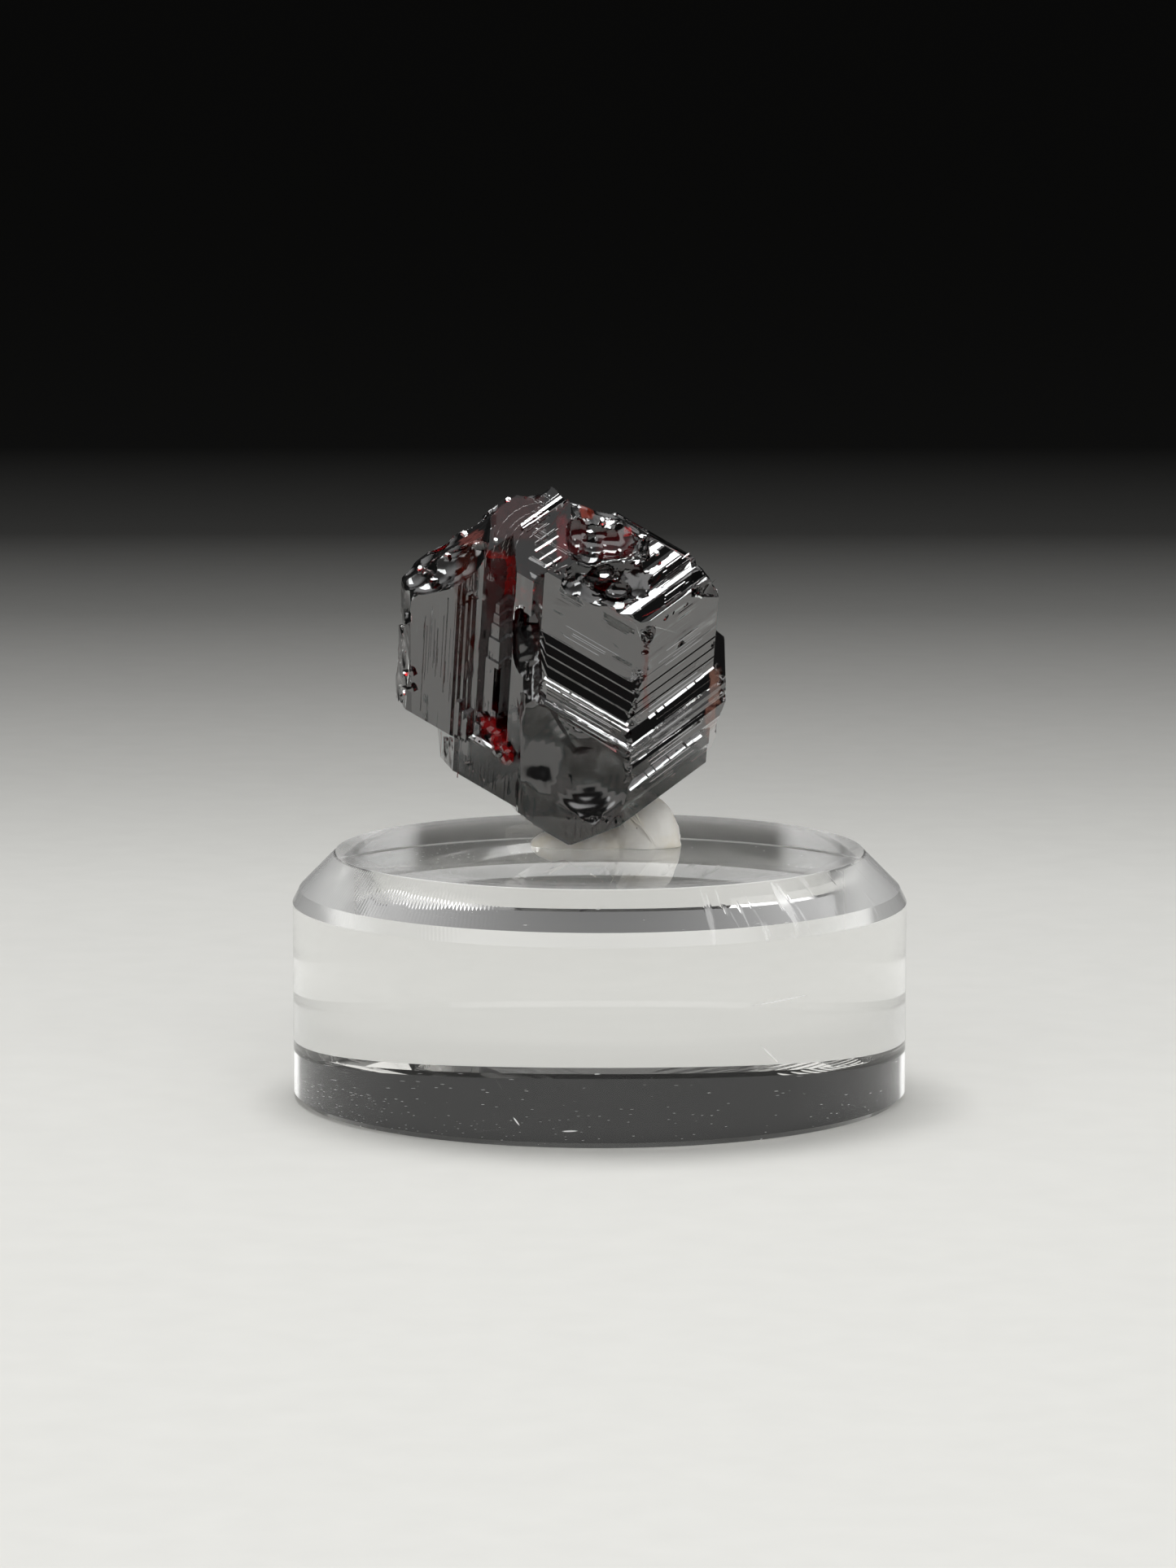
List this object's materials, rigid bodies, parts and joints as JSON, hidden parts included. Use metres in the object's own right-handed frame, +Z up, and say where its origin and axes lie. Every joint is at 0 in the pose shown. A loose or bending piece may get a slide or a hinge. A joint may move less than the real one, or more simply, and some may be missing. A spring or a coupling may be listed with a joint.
{
  "type": "garnet crystal on a display base",
  "caption": "Stepped, etched deep red garnet crystal stuck with mineral tack on a clear round acrylic display base with a bevelled top edge.",
  "frame": {"origin": "centre of the base's flat underside", "axes": "+Z up, -Y towards the viewer of the crystal's stepped front, +X to that viewer's right"},
  "size_m": [0.0318, 0.0318, 0.0318],
  "materials": {
    "garnet": "bright glassy crystal faces, near-black red with see-through red windows",
    "tack": "soft matte putty",
    "acrylic": "clear polished acrylic with a lathe-marked bevel"
  },
  "bodies": {
    "root": {"garnet_crystal": "garnet", "mineral_tack": "tack", "acrylic_base": "acrylic"}
  },
  "joints": []
}
